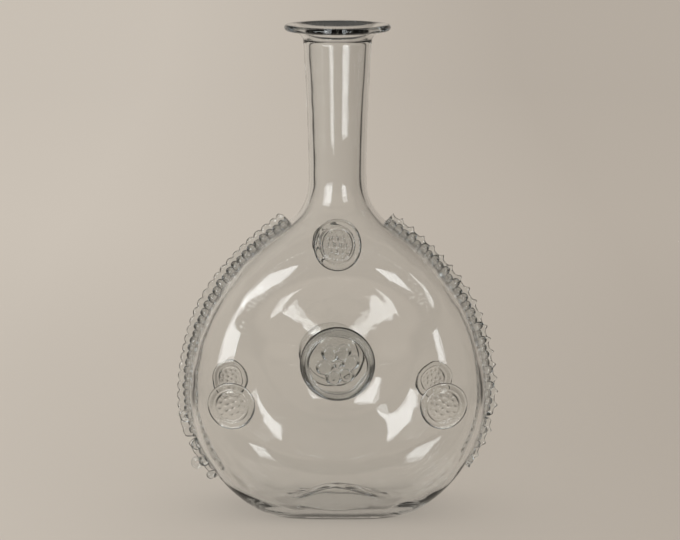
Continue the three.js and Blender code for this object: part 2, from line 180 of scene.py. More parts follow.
# Seals
SEAL_SINK = 0.35
LARGE_SEAL_RADIUS = 20.5
BACK_LARGE_SEAL_RADIUS = 18.6
LARGE_SEAL_RIM_HEIGHT = 4.2
SMALL_SEAL_RADIUS = 12.8
BACK_SMALL_SEAL_RADIUS = 11
SMALL_SEAL_RIM_HEIGHT = 2.5
SIDE_SEAL_INSET = 24.5
SIDE_SEAL_HEIGHT = 66.5
TOP_SEAL_HEIGHT = 154
BACK_TOP_SEAL_HEIGHT = 146
BACK_SEAL_SHIFT = -3.5
SEAL_BED_RINGS = 10
SEAL_EDGE_RINGS = 8
SEAL_RELIEF_RINGS = 70
LARGE_SEAL_SIDES = 180
SMALL_SEAL_SIDES = 132

# Large front seal: places are shares of its radius, rim and field are shares of the rim's height
ROSETTE_BORDER = 0.775
ROSETTE_BORDER_WAVES = ((0.022, 6, 0.6), (0.014, 3, 0))
ROSETTE_RIM_OVERLAP = 0.006
ROSETTE_RIM_EDGE = 0.3
ROSETTE_RIM_ROLL = 1.1
ROSETTE_FIELD = 0.25
ROSETTE_BOSS_RADIUS = 0.12
ROSETTE_BOSS_SHARE = 0.8
PETAL_TURNS = (9, 66, 125, 194, 254, 310)
PETAL_PLACE = 0.345
PETAL_HALF_LENGTH = 0.24
PETAL_HALF_WIDTH = 0.215
PETAL_RELIEF = 2.5
BLISTER_PLACE = 0.86
BLISTER_HALF_WIDTH = 0.11
BLISTER_HALF_HEIGHT = 0.075
BLISTER_RELIEF = 0.5

# Large back seal, in the same shares
WORN_RIM_PLACE = 0.9
WORN_RIM_REACH = 0.105
WORN_RIM_SWING = 0.15
WORN_RIM_WAVES = 5
WORN_RIM_RELIEF = 0.12
WORN_FIELD = 0.2

# Small seals: brim and field in shares of the rim's height, the stamp's relief in millimetres
SMALL_BRIM = 0.14
SMALL_BRIM_ROLL = 0.12
SMALL_BRIM_ROLL_START = 0.8
SMALL_BRIM_ROLL_REACH = 0.202
SMALL_FIELD = 0.26
SMALL_FIELD_EDGE = 0.66
SMALL_RING_PLACE = 0.67
SMALL_RING_REACH = 0.06
SMALL_RING_RELIEF = 0.25
SMALL_BEADS = {"count": 12, "start": 0.2, "place": 0.51, "radius": 0.095, "relief": 0.12}
SMALL_PETALS = {"count": 6, "start": 0.4, "place": 0.27, "radius": 0.13, "relief": 0.2}
SMALL_BOSS_RADIUS = 0.11
SMALL_BOSS_RELIEF = 0.2
TOP_SEAL_CRISPNESS = 2.3
TOP_SEAL_TURN = 0.5

# Glass
GLASS_IOR = 1.5
GLASS_DEPTH_COLOUR = (0.63, 0.65, 0.655, 1)
GLASS_SHADOW_COLOUR = (0.9, 0.9, 0.89, 1)
GLASS_PALE = (1.0, 1.0, 0.995, 1)
GLASS_BUMP_STRENGTH = 0.3
GLASS_BUMP_DISTANCE = 0.0002
GLASS_LEAST_ROUGHNESS = 0.004
GLASS_MOST_ROUGHNESS = 0.015
GLASS_WAVE_SCALE = 60.0
GLASS_WAVE_DETAIL = 2
GLASS_TINT_SCALE = 9

# Backdrop paper
FLOOR_GAP = 0.3
FLOOR_RADIUS = 2000
WALL_RADIUS = 2600
WALL_TOP = 1800
FLOOR_STEPS = 40
BEND_STEPS = 24
BACKDROP_SIDES = 96
# Painted light and shade on the paper: its left lighter, its right darker
PAPER_LEFT_PAINTED_LIGHT = (0.60, 0.545, 0.478, 1)
PAPER_RIGHT_PAINTED_SHADE = (0.475, 0.425, 0.368, 1)
PAPER_HALF_SPREAD = 0.25
PAPER_GLOW = 0.78
# Painted light: the paper's glow rises towards the back, in metres along y
PAPER_PAINTED_RISE = (0.05, 1.0, 1.0, 1.13)
PAPER_ALBEDO_SHARE = 0.3
# Painted contact shade: ambient occlusion darkens the paper's glow near the decanter
CONTACT_REACH = 0.25
CONTACT_SHADE = 0.3
CONTACT_SAMPLES = 8

# Painted shadow on the paper under the front of the foot, in shares of the foot's outline, then metres
# along y
FOOT_SHADE = 0.85
FOOT_SHADE_INSIDE = (0.74, 0.86)
FOOT_SHADE_OUTSIDE = (0.98, 1.1)
FOOT_SHADE_BACK = (-0.019, -0.015)

# Painted dark studio, which the paper shows only to light that came through the glass: azimuth from
# straight behind, distance and height in metres, and what is left there
PAINTED_DARK_AZIMUTH = (math.radians(40), math.radians(54))
PAINTED_DARK_RELIEF_AZIMUTH = (math.radians(8), math.radians(20))
PAINTED_DARK_END_AZIMUTH = (math.radians(110), math.radians(128))
PAINTED_DARK_DISTANCE = (0.2, 0.4)
PAINTED_DARK_HEIGHT = (0.8, 1.3)
PAINTED_DARK_LEVEL = 0.1
PAINTED_DARK_ON_CLEAR_VIEW = 0.3

# Counts that tell light's way through the glass: fewer crossings than the first for a wall alone,
# more than the second for the relief of a seal or trail, and any reflection for light turned back
WALL_CROSSINGS = 3.5
RELIEF_CROSSINGS = 4.5
REFLECTIONS = 0.5

# Lamps, air and camera
LAMP_COLOUR = (0.96, 0.99, 1.0)
STUDIO_FILL = (0.52, 0.48, 0.43, 1)
STUDIO_DARK = (0.07, 0.07, 0.066, 1)
BLACK = (0, 0, 0, 1)
CAMERA_DISTANCE = 1300
CAMERA_HEIGHT = 388.6
CAMERA_OFFSET = 1.35
CAMERA_PITCH = 11.04
CAMERA_LENS = 127.6
CAMERA_SENSOR = 36
CAMERA_CLIP_END = 20
GLASS_BOUNCES = 40
GLOSSY_BOUNCES = 16


def mix(low, high, share):
    return low + (high - low) * share


def smoothstep(low, high, value):
    share = np.clip((value - low) / (high - low), 0, 1)
    return share * share * (3 - 2 * share)


def bulb_half_width(z):
    rise = np.clip((z - BULB_WIDEST_HEIGHT) / (BULB_CLOSING_HEIGHT - BULB_WIDEST_HEIGHT), 0, 1)
    upper = BULB_HALF_WIDTH * (1 - rise**2) ** SHOULDER_POWER
    heel_share = HEEL_HALF_WIDTH / BULB_HALF_WIDTH
    drop = np.clip(1 - z / BULB_WIDEST_HEIGHT, 0, 1) * math.sqrt(1 - heel_share**2)
    lower = BULB_HALF_WIDTH * np.sqrt(1 - drop**2)
    return np.where(z >= BULB_WIDEST_HEIGHT, upper, lower)


def neck_radius(z):
    rise = (z - NECK_WAIST_HEIGHT) / (NECK_TOP_HEIGHT - NECK_WAIST_HEIGHT)
    return mix(NECK_WAIST_RADIUS, NECK_TOP_RADIUS, np.maximum(0, rise) ** NECK_FLARE_POWER)


def shoulder_half_width(z):
    """Concave sweep from the neck's waist into the shoulder, tangent to both."""
    span = NECK_WAIST_HEIGHT - SHOULDER_JOIN_HEIGHT
    t = (NECK_WAIST_HEIGHT - z) / span
    below = bulb_half_width(SHOULDER_JOIN_HEIGHT - SLOPE_STEP / 2)
    above = bulb_half_width(SHOULDER_JOIN_HEIGHT + SLOPE_STEP / 2)
    join_width = bulb_half_width(SHOULDER_JOIN_HEIGHT)
    join_slope = (below - above) / SLOPE_STEP
    return mix(NECK_WAIST_RADIUS, join_width, t**2 * (3 - 2 * t)) + (t**3 - t**2) * span * join_slope


def half_width(z):
    z = np.asarray(z, float)
    heel_drop = np.clip(1 - z / HEEL_RADIUS, 0, 1)
    bulb = bulb_half_width(z) - HEEL_RADIUS * (1 - np.sqrt(1 - heel_drop**2))
    below_neck = np.where(z > SHOULDER_JOIN_HEIGHT, shoulder_half_width(z), bulb)
    return np.where(z >= NECK_WAIST_HEIGHT, neck_radius(z), below_neck)


def flattening(z):
    """How far the flask is flattened: 0 on the round neck, 1 on the bulb."""
    return 1 - smoothstep(NECK_WAIST_HEIGHT - FLATTENING_LENGTH, NECK_WAIST_HEIGHT, z)


def half_depth(z):
    bulb_ratio = BULB_HALF_DEPTH / BULB_HALF_WIDTH
    foot_ratio = FOOT_HALF_DEPTH / half_width(0.0)
    low_ratio = mix(foot_ratio, bulb_ratio, smoothstep(0, FOOT_BLEND_HEIGHT, z))
    return half_width(z) * mix(1, low_ratio, flattening(z))


def dish_floor(dish, reach):
    """Share of the conical floor's height still below a place in a dish, 1 at its tip."""
    edge = np.hypot(dish["floor"], DISH_TIP_RADIUS)
    here = np.hypot(np.minimum(reach, dish["floor"]), DISH_TIP_RADIUS)
    return (edge - here) / (edge - DISH_TIP_RADIUS)


def dish_wall(dish, reach):
    """Share of the wall's height still above a place in a dish, 1 over the whole floor."""
    turn_length = dish["radius"] - dish["floor"] - dish["rise"] - dish["straight"]
    rise = np.clip(reach - dish["floor"], 0, dish["rise"])
    straight = np.clip(reach - dish["floor"] - dish["rise"], 0, dish["straight"])
    turn = np.clip(reach - dish["radius"] + turn_length, 0, turn_length)
    climbed = rise**2 / (2 * dish["rise"]) + straight + turn - turn**2 / (2 * turn_length)
    return 1 - climbed / (dish["rise"] / 2 + dish["straight"] + turn_length / 2)


def dish_share(face, x, z):
    """Share of the depth that the pressed dish leaves at a place on a face."""
    dish = DISHES[face]
    reach = np.hypot(x, z - DISH_HEIGHT)
    press = 1 - dish["half_gap"] / half_depth(float(DISH_HEIGHT))
    return 1 - press * mix(dish_wall(dish, reach), dish_floor(dish, reach), dish["floor_share"])


def face_depth(face, x, z):
    power = mix(ROUND_POWER, SECTION_POWER, flattening(z))
    across = np.minimum(1, np.abs(x) / half_width(z)) ** power
    return half_depth(z) * (1 - across) ** (1 / power) * dish_share(face, x, z)


def wall_thickness(z):
    neck_share = smoothstep(SHOULDER_JOIN_HEIGHT, NECK_WAIST_HEIGHT, z)
    upper = mix(BULB_WALL, NECK_WALL, neck_share)
    return mix(HEEL_WALL, upper, smoothstep(0, HEEL_WALL_HEIGHT, z))


def unit(vectors):
    return vectors / np.linalg.norm(vectors, axis=-1, keepdims=True)


def loft(first_tip, rings, last_tip):
    """Closed body through rings of points, with a tip point closing each end."""
    rings = np.asarray(rings, float)
    count, sides = rings.shape[:2]
    points = np.vstack([[first_tip], rings.reshape(-1, 3), [last_tip]])
    here = 1 + np.arange(count * sides).reshape(count, sides)
    beside = np.roll(here, -1, axis=1)
    walls = np.stack([here[:-1], beside[:-1], beside[1:], here[1:]], axis=-1).reshape(-1, 4)
    first = np.stack([np.zeros(sides, int), beside[0], here[0]], axis=-1)
    last = np.stack([np.full(sides, len(points) - 1), here[-1], beside[-1]], axis=-1)
    fans = np.vstack([first, last])
    a, b, c = (points[fans[:, i]] for i in range(3))
    p, q, r, s = (points[walls[:, i]] for i in range(4))
    volume = np.einsum("ij,ij->", a, np.cross(b, c))
    volume += np.einsum("ij,ij->", p, np.cross(q, r)) + np.einsum("ij,ij->", p, np.cross(r, s))
    if volume < 0:
        walls = walls[:, ::-1]
        fans = fans[:, ::-1]
    return points, walls.tolist() + fans.tolist()


def closed_band(points):
    """Body whose grid of points closes on itself both ways, as a ring of glass does."""
    here = np.arange(points.shape[0] * points.shape[1]).reshape(points.shape[:2])
    round_next = np.roll(here, -1, axis=0)
    across_next = np.roll(here, -1, axis=1)
    both = np.roll(across_next, -1, axis=0)
    faces = np.stack([here, across_next, both, round_next], axis=-1).reshape(-1, 4)
    return points.reshape(-1, 3), faces.tolist()


def joined(*bodies):
    """Several closed bodies as one list of points and faces."""
    points = []
    faces = []
    for body_points, body_faces in bodies:
        start = sum(len(p) for p in points)
        points.append(body_points)
        faces += [[start + i for i in face] for face in body_faces]
    return np.vstack(points), faces


def glass_piece(name, body, material):
    points, faces = body
    mesh = bpy.data.meshes.new(name)
    mesh.from_pydata((points * MM).tolist(), [], faces)
    mesh.shade_smooth()
    mesh.materials.append(material)
    piece = bpy.data.objects.new(name, mesh)
    bpy.context.scene.collection.objects.link(piece)
    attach(piece, "root")
    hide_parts(name.removesuffix("_glass"))


# Flask body


def glass_waves(points, height, length):
    """Slow uneven waves over the glass, as a height at each point."""
    x, y, z = (points[..., i] / length for i in range(3))

    def sine(rates, bend=0):
        rate_x, rate_y, rate_z, start = rates
        return np.sin(rate_x * x + rate_y * y + rate_z * z + start + bend)

    long_wave = sine(LONG_WAVE[0]) * sine(LONG_WAVE[1])
    short_wave = sine(SHORT_WAVE[0], np.sin(SHORT_WAVE_BEND * z)) * sine(SHORT_WAVE[1])
    return height * (long_wave + SHORT_WAVE_SHARE * short_wave)


def face_outline(face, z):
    """Even points along one face of the flask, from its right side to its left."""
    x = half_width(z) * np.cos(np.linspace(0, math.pi, OUTLINE_SAMPLES))
    y = face * face_depth(face, x, np.full_like(x, z))
    travelled = np.concatenate([[0], np.cumsum(np.hypot(np.diff(x), np.diff(y)))])
    places = np.linspace(0, travelled[-1], FACE_SIDES + 1)
    even_x = np.interp(places, travelled, x)
    even_y = np.interp(places, travelled, y)
    return np.stack([even_x, even_y, np.full_like(places, z)], axis=-1)


def wall_ring(z):
    return np.concatenate([face_outline(BACK, float(z))[:-1], face_outline(FRONT, float(z))[:0:-1]])


def kick_ring(share):
    """Ring of the pushed-up underside, at a share of the foot face's inner outline."""
    foot = wall_ring(0)
    width = float(half_width(0.0))
    foot[:, 0] *= share * (width - FOOT_FACE_WIDTH) / width
    foot[:, 1] *= share * (FOOT_HALF_DEPTH - FOOT_FACE_WIDTH) / FOOT_HALF_DEPTH
    foot[:, 2] = KICK_HEIGHT * (1 - share**2) ** KICK_POWER
    return foot


def flask_body():
    """Shell from the tip of the kick out to the foot, up to the mouth, and back down inside."""
    kick_share = (np.arange(KICK_RINGS) + 1) / KICK_RINGS
    kick = [kick_ring(share) for share in kick_share]
    heel = HEEL_RADIUS * (np.arange(HEEL_RINGS) / HEEL_RINGS) ** 2
    bulb = np.linspace(HEEL_RADIUS, NECK_WAIST_HEIGHT, WALL_RINGS, endpoint=False)
    neck = np.linspace(NECK_WAIST_HEIGHT, NECK_TOP_HEIGHT, NECK_RINGS + 1)
    wall = [wall_ring(z) for z in np.concatenate([heel, bulb, neck])]
    outer = np.array(kick + wall)
    along = np.roll(outer, -1, axis=1) - np.roll(outer, 1, axis=1)
    up = np.gradient(outer, axis=0)
    outward = unit(np.cross(along, up))
    thickness = wall_thickness(outer[..., 2])
    to_heel = smoothstep(HEEL_WALL_START, 1, kick_share)
    thickness[:KICK_RINGS] = mix(KICK_WALL, HEEL_WALL, to_heel)[:, None]
    dish_reach = np.hypot(outer[..., 0], outer[..., 2] - DISH_HEIGHT) / DISH_WAVE_REACH
    pressed = DISH_WAVE_HEIGHT * np.clip(1 - dish_reach**2, 0, 1)
    blown_waves = glass_waves(outer, WALL_WAVE_HEIGHT, WALL_WAVE_LENGTH)
    thickness += blown_waves + glass_waves(outer, 1, DISH_WAVE_LENGTH) * pressed
    inner = (outer - outward * thickness[..., None])[-2:0:-1]
    mouth = outer[-1].copy()
    mouth[:, :2] *= (NECK_TOP_RADIUS - NECK_WALL) / NECK_TOP_RADIUS
    rings = np.concatenate([outer, mouth[None], inner])
    return loft((0, 0, KICK_HEIGHT), rings, (0, 0, KICK_HEIGHT + KICK_WALL))


# Mouth ring


def quadratic(start, control, end, steps):
    t = np.linspace(0, 1, steps)[:, None]
    start, control, end = (np.array(p, float) for p in (start, control, end))
    return (1 - t) ** 2 * start + 2 * t * (1 - t) * control + t**2 * end


def lip_ring():
    """Ring turned round the neck: flared inside, rolled rim, flared underside down to its seat."""
    seat = NECK_TOP_HEIGHT + LIP_SEAT_GAP
    bore = NECK_TOP_RADIUS - NECK_WALL - LIP_SEAT_PROUD
    foot = NECK_TOP_RADIUS + LIP_SEAT_PROUD
    rim_x = LIP_RADIUS - LIP_RIM_RADIUS
    rim_z = MOUTH_HEIGHT - LIP_RIM_RADIUS
    rim_under = rim_z - LIP_RIM_RADIUS
    lean = (rim_z - seat) * LIP_FLARE_LEAN
    inside = quadratic((bore, seat), (bore + lean, MOUTH_HEIGHT), (rim_x, MOUTH_HEIGHT), LIP_CURVE_STEPS)
    turn = np.linspace(math.pi / 2, -math.pi / 2, LIP_CURVE_STEPS)
    roll = np.stack([rim_x + LIP_RIM_RADIUS * np.cos(turn), rim_z + LIP_RIM_RADIUS * np.sin(turn)], axis=-1)
    under = quadratic((rim_x, rim_under), (foot + lean, rim_under), (foot, seat), LIP_CURVE_STEPS)
    profile = np.vstack([inside, roll[1:], under[1:]])
    angle = np.linspace(0, 2 * math.pi, LIP_SIDES, endpoint=False)
    circle = np.stack([np.cos(angle), np.sin(angle)], axis=-1)
    points = np.zeros((LIP_SIDES, len(profile), 3))
    points[..., :2] = circle[:, None] * profile[None, :, :1]
    points[..., 2] = profile[None, :, 1]
    return closed_band(points)


# Side trails


def trail_path(end_height):
    """Even points down the flask's side outline, with the direction square to the glass at each."""
    z = np.linspace(TRAIL_TOP_HEIGHT, end_height, OUTLINE_SAMPLES)
    x = half_width(z)
    travelled = np.concatenate([[0], np.cumsum(np.hypot(np.diff(x), np.diff(z)))])
    distance = np.arange(0, travelled[-1], TRAIL_STEP)
    points = np.stack([np.interp(distance, travelled, x), np.interp(distance, travelled, z)], axis=-1)
    tangent = unit(np.gradient(points, axis=0))
    normal = np.stack([-tangent[:, 1], tangent[:, 0]], axis=-1)
    return distance, points, normal


def crest_bites(trail, distance, pinched):
    """How deep the crest is bitten along a trail, and how much less where it was left plain."""
    bite_phase = pinched / trail["crest_pitch"]
    hooked = bite_phase + trail["hook"] * np.sin(2 * math.pi * bite_phase)
    wave = np.abs(np.sin(math.pi * hooked))
    bite = mix(wave**2, 1 - wave, trail["scallop"])
    plain = smoothstep(trail["plain_from"], trail["plain_from"] + PLAIN_FADE_LENGTH, distance)
    return bite * (trail["bite"] * (1 - PLAIN_BITE_LOSS * plain))


def trail_taper(trail, distance):
    """Share of the full section along a trail: its two ends and the breaks in the pull."""
    from_end = distance[-1] - distance
    top_taper = mix(TRAIL_TOP_SHARE, 1, smoothstep(0, TRAIL_TOP_TAPER_LENGTH, distance))
    end_taper = mix(trail["end_taper"], 1, smoothstep(0, TRAIL_END_TAPER_LENGTH, from_end))
    taper = top_taper * end_taper
    for place in trail["breaks"]:
        taper *= 1 - BREAK_DEPTH * np.exp(-(((distance - place) / BREAK_WIDTH) ** 2))
    return taper


def side_trail(side, trail):
    distance, path, normal = trail_path(trail["end"])
    length = distance[-1]
    drift = sum(stray * np.sin(distance / reach + start) for stray, reach, start in PINCH_DRIFT)
    phase = (distance + drift) / BEAD_PITCH
    nearest = np.round(phase)
    bead = np.abs(phase - nearest) / BEAD_SPREAD
    bead_swing = 1 + BEAD_SIZE_SWING * np.sin(BEAD_SIZE_RATE * nearest)
    bead_height = np.where(nearest % 2 == 0, *trail["beads"]) * bead_swing
    taper = trail_taper(trail, distance)
    low = mix(1, trail["low_end"], smoothstep(trail["breaks"][0] - LOW_END_LEAD, length, distance))
    tail = smoothstep(length - TAIL_LENGTH, length, distance) ** 2 * trail["tail_lift"]
    swell = CREST_SWELL * np.sin(distance / CREST_SWELL_LENGTH + CREST_SWELL_START)
    bite = crest_bites(trail, distance, distance + drift)
    crest = (TRAIL_TIP_HEIGHT - CREST_SWELL + swell - bite) * taper * low
    level = np.sin(np.linspace(0, math.pi / 2, TRAIL_LEVELS))
    sections = []
    for k in range(len(distance)):
        height = level * crest[k]
        fin = mix(FIN_FOOT_THICKNESS, FIN_CREST_THICKNESS, smoothstep(0, bead_height[k], height))
        into_edge = np.clip(1 - (crest[k] - height) / CREST_ROUNDING, 0, CREST_EDGE_LIMIT)
        fin *= np.sqrt(1 - into_edge**2)
        edge = bead[k] ** BEAD_END_POWER + (height / bead_height[k]) ** BEAD_TOP_POWER
        beads = BEAD_DEPTH * np.sqrt(np.clip(1 - edge, 0, 1))
        half = (fin + beads) * min(1, taper[k] + BREAK_THICKNESS_SPARED)
        sway = CREST_SWAY * math.sin(2 * math.pi * phase[k]) * level**2
        y = np.concatenate([[half[0]], half, -half[::-1], [-half[0]]])
        y += np.concatenate([[0], sway, sway[::-1], [0]])
        lift = np.concatenate([[-TRAIL_SINK], height, height[::-1], [-TRAIL_SINK]]) + tail[k]
        x = side * (path[k, 0] + normal[k, 0] * lift)
        z = path[k, 1] + normal[k, 1] * lift
        sections.append(np.stack([x, y, z], axis=-1))
    return loft(sections[0].mean(axis=0), sections, sections[-1].mean(axis=0))


def curl(x, z, radius, thickness):
    """Small ring where the end of a trail was looped back on itself."""
    around = np.linspace(0, 2 * math.pi, CURL_SIDES, endpoint=False)[:, None]
    section = np.linspace(0, 2 * math.pi, CURL_SIDES // 2, endpoint=False)[None]
    reach = radius + thickness * np.cos(section)
    across = thickness * np.sin(section) + 0 * around
    return closed_band(np.stack([x + reach * np.cos(around), across, z + reach * np.sin(around)], axis=-1))


def droplet(x, z, radius):
    """Rounded drop of glass where a trail was torn off."""
    turn = np.linspace(0, math.pi, CURL_SIDES // 2)[1:-1, None]
    angle = np.linspace(0, 2 * math.pi, CURL_SIDES, endpoint=False)[None]
    rings = np.stack([
        x + radius * np.sin(turn) * np.cos(angle),
        radius * np.sin(turn) * np.sin(angle),
        z + radius * np.cos(turn) + 0 * angle,
    ], axis=-1)
    return loft((x, 0, z + radius), rings, (x, 0, z - radius))


def left_trail():
    """The left trail, whose torn tail ends in loops and drops of glass."""
    curls = [curl(*place) for place in LEFT_TAIL_CURLS]
    droplets = [droplet(*place) for place in LEFT_TAIL_DROPLETS]
    return joined(side_trail(LEFT, LEFT_TRAIL), *curls, *droplets)


# Seals


def face_point(face, x, z, height):
    """Points on a face of the flask, raised square to the glass."""
    half = SLOPE_STEP / 2
    slope_x = (face_depth(face, x + half, z) - face_depth(face, x - half, z)) / SLOPE_STEP
    slope_z = (face_depth(face, x, z + half) - face_depth(face, x, z - half)) / SLOPE_STEP
    outward = unit(np.stack([-slope_x, np.full_like(x, face), -slope_z], axis=-1))
    on_face = np.stack([x, face * face_depth(face, x, z), z], axis=-1)
    return on_face + outward * height[..., None]


def bump(distance, radius):
    return np.sqrt(np.clip(1 - (distance / radius) ** 2, 0, 1))


def rosette_seal_relief(share, angle):
    """Thick rolled rim, its border pressed wavy, round a six-petal rosette in a sunk field."""
    border = ROSETTE_BORDER
    for depth, count, start in ROSETTE_BORDER_WAVES:
        border = border + depth * np.cos(count * angle + start)
    roll = bump(share - (1 + border) / 2, (1 - border) / 2 + ROSETTE_RIM_OVERLAP)
    rim = ROSETTE_RIM_EDGE + ROSETTE_RIM_ROLL * roll
    relief = LARGE_SEAL_RIM_HEIGHT * np.where(share > border, rim, ROSETTE_FIELD)
    x = share * np.cos(angle)
    z = share * np.sin(angle)
    rosette = ROSETTE_BOSS_SHARE * bump(share, ROSETTE_BOSS_RADIUS)
    for turn in np.radians(PETAL_TURNS):
        along = x * math.cos(turn) + z * math.sin(turn)
        across = z * math.cos(turn) - x * math.sin(turn)
        out = np.hypot((along - PETAL_PLACE) / PETAL_HALF_LENGTH, across / PETAL_HALF_WIDTH)
        rosette = np.maximum(rosette, bump(out**2, 1))
    blister = bump(np.hypot(x / BLISTER_HALF_WIDTH, (z - BLISTER_PLACE) / BLISTER_HALF_HEIGHT), 1)
    return relief + PETAL_RELIEF * rosette + BLISTER_RELIEF * blister


def worn_seal_relief(share, angle):
    """Low large seal, its stamp worn to a soft rim round a flat field."""
    swing = 1 + WORN_RIM_SWING * np.cos(WORN_RIM_WAVES * angle)
    rim = bump(share - WORN_RIM_PLACE, WORN_RIM_REACH) * swing
    return LARGE_SEAL_RIM_HEIGHT * (WORN_FIELD + WORN_RIM_RELIEF * rim)


def studs(ring, x, z):
    """Rounded studs evenly round a stamp, as a relief in millimetres."""
    relief = 0
    for k in range(ring["count"]):
        turn = 2 * math.pi * (k + ring["start"]) / ring["count"]
        stud_x = x - ring["place"] * math.cos(turn)
        stud_z = z - ring["place"] * math.sin(turn)
        relief = relief + ring["relief"] * bump(np.hypot(stud_x, stud_z), ring["radius"])
    return relief


def small_seal_relief(share, angle, crispness=1):
    """Flat brim with a rounded edge, a raised ring and a small rosette inside a ring of beads."""
    roll = bump(np.maximum(share - SMALL_BRIM_ROLL_START, 0), SMALL_BRIM_ROLL_REACH)
    brim = SMALL_BRIM + SMALL_BRIM_ROLL * roll
    blank = SMALL_SEAL_RIM_HEIGHT * np.where(share > SMALL_FIELD_EDGE, brim, SMALL_FIELD)
    x = share * np.cos(angle)
    z = share * np.sin(angle)
    stamp = SMALL_RING_RELIEF * bump(share - SMALL_RING_PLACE, SMALL_RING_REACH)
    stamp = stamp + studs(SMALL_BEADS, x, z) + studs(SMALL_PETALS, x, z)
    stamp = stamp + SMALL_BOSS_RELIEF * bump(share, SMALL_BOSS_RADIUS)
    return blank + crispness * stamp


def top_seal_relief(share, angle):
    """The seal on the shoulder, stamped deeper than the ones lower down."""
    return small_seal_relief(share, angle + TOP_SEAL_TURN, TOP_SEAL_CRISPNESS)


def seal(face, x, z, radius, relief_law, sides):
    """Pad of glass on a face of the flask: a sunk bed, a short edge and a stamped top."""
    angle = np.linspace(0, 2 * math.pi, sides, endpoint=False)[None]
    bed_share = np.linspace(0, 1, SEAL_BED_RINGS + 1)[1:, None]
    relief_share = np.linspace(1, 0, SEAL_RELIEF_RINGS, endpoint=False)[:, None]

    def place(share, height):
        share, height, turn = np.broadcast_arrays(share, height, angle)
        on_face_x = x + radius * share * np.cos(turn)
        on_face_z = z + radius * share * np.sin(turn)
        return face_point(face, on_face_x, on_face_z, height)

    bed = place(bed_share, np.full_like(bed_share, -SEAL_SINK))
    edge_height = np.linspace(-SEAL_SINK, 0, SEAL_EDGE_RINGS)[1:, None]
    edge = place(np.ones_like(edge_height), edge_height)
    relief = place(relief_share, relief_law(relief_share, angle))
    rings = np.concatenate([bed, edge, relief])
    return loft(bed[0].mean(axis=0), rings, relief[-1].mean(axis=0))


# Finishes


def node_group(name, inputs, outputs):
    group = bpy.data.node_groups.new(name, "ShaderNodeTree")
    for label, value in inputs:
        socket = group.interface.new_socket(label, in_out="INPUT", socket_type="NodeSocketFloat")
        socket.default_value = value
    for label in outputs:
        group.interface.new_socket(label, in_out="OUTPUT", socket_type="NodeSocketFloat")
    return group, group.nodes.new("NodeGroupInput"), group.nodes.new("NodeGroupOutput")


def blown_glass_marks():
    """Slow waves of hand-made glass, as a height and a roughness, and a mask for its faint tint."""
    inputs = [
        ("Wave Scale", GLASS_WAVE_SCALE),
        ("Least Roughness", GLASS_LEAST_ROUGHNESS),
        ("Most Roughness", GLASS_MOST_ROUGHNESS),
    ]
    group, inside, outside = node_group("blown_glass_marks", inputs, ["Height", "Roughness", "Tint"])
    nodes, links = group.nodes, group.links
    place = nodes.new("ShaderNodeTexCoord")
    waves = nodes.new("ShaderNodeTexNoise")
    waves.inputs["Detail"].default_value = GLASS_WAVE_DETAIL
    links.new(place.outputs["Object"], waves.inputs["Vector"])
    links.new(inside.outputs["Wave Scale"], waves.inputs["Scale"])
    links.new(waves.outputs["Fac"], outside.inputs["Height"])
    spread = nodes.new("ShaderNodeMapRange")
    links.new(waves.outputs["Fac"], spread.inputs["Value"])
    links.new(inside.outputs["Least Roughness"], spread.inputs["To Min"])
    links.new(inside.outputs["Most Roughness"], spread.inputs["To Max"])
    links.new(spread.outputs["Result"], outside.inputs["Roughness"])
    tint = nodes.new("ShaderNodeTexNoise")
    tint.inputs["Scale"].default_value = GLASS_TINT_SCALE
    links.new(place.outputs["Object"], tint.inputs["Vector"])
    links.new(tint.outputs["Fac"], outside.inputs["Tint"])
    return group


def clear_glass(name, marks, wave_scale, deep, density):
    """Clear glass that darkens with depth; deep is the colour that its tint drifts to."""
    material = bpy.data.materials.new(name)
    material.use_nodes = True
    nodes, links = material.node_tree.nodes, material.node_tree.links
    nodes.clear()
    surface = nodes.new("ShaderNodeGroup")
    surface.node_tree = marks
    surface.inputs["Wave Scale"].default_value = wave_scale
    colour = nodes.new("ShaderNodeMix")
    colour.data_type = "RGBA"
    colour.inputs["A"].default_value = GLASS_PALE
    colour.inputs["B"].default_value = (*deep, 1)
    links.new(surface.outputs["Tint"], colour.inputs["Factor"])
    bumps = nodes.new("ShaderNodeBump")
    bumps.inputs["Strength"].default_value = GLASS_BUMP_STRENGTH
    bumps.inputs["Distance"].default_value = GLASS_BUMP_DISTANCE
    links.new(surface.outputs["Height"], bumps.inputs["Height"])
    glass = nodes.new("ShaderNodeBsdfPrincipled")
    glass.inputs["IOR"].default_value = GLASS_IOR
    glass.inputs["Transmission Weight"].default_value = 1
    links.new(colour.outputs["Result"], glass.inputs["Base Color"])
    links.new(surface.outputs["Roughness"], glass.inputs["Roughness"])
    links.new(bumps.outputs["Normal"], glass.inputs["Normal"])
    through = nodes.new("ShaderNodeBsdfTransparent")
    through.inputs["Color"].default_value = GLASS_SHADOW_COLOUR
    path = nodes.new("ShaderNodeLightPath")
    blend = nodes.new("ShaderNodeMixShader")
    links.new(path.outputs["Is Shadow Ray"], blend.inputs["Fac"])
    links.new(glass.outputs["BSDF"], blend.inputs[1])
    links.new(through.outputs["BSDF"], blend.inputs[2])
    depth = nodes.new("ShaderNodeVolumeAbsorption")
    depth.inputs["Color"].default_value = GLASS_DEPTH_COLOUR
    depth.inputs["Density"].default_value = density
    out = nodes.new("ShaderNodeOutputMaterial")
    links.new(blend.outputs["Shader"], out.inputs["Surface"])
    links.new(depth.outputs["Volume"], out.inputs["Volume"])
    return material


# Studio


def reckon(tree, operation, *values):
    """Math node on sockets or plain numbers; returns its result socket."""
    node = tree.nodes.new("ShaderNodeMath")
    node.operation = operation
    for slot, value in zip(node.inputs, values):
        if isinstance(value, (int, float)):
            slot.default_value = value
        else:
            tree.links.new(value, slot)
    return node.outputs["Value"]


def times(tree, first, second):
    return reckon(tree, "MULTIPLY", first, second)


def larger(tree, first, second):
    return reckon(tree, "MAXIMUM", first, second)


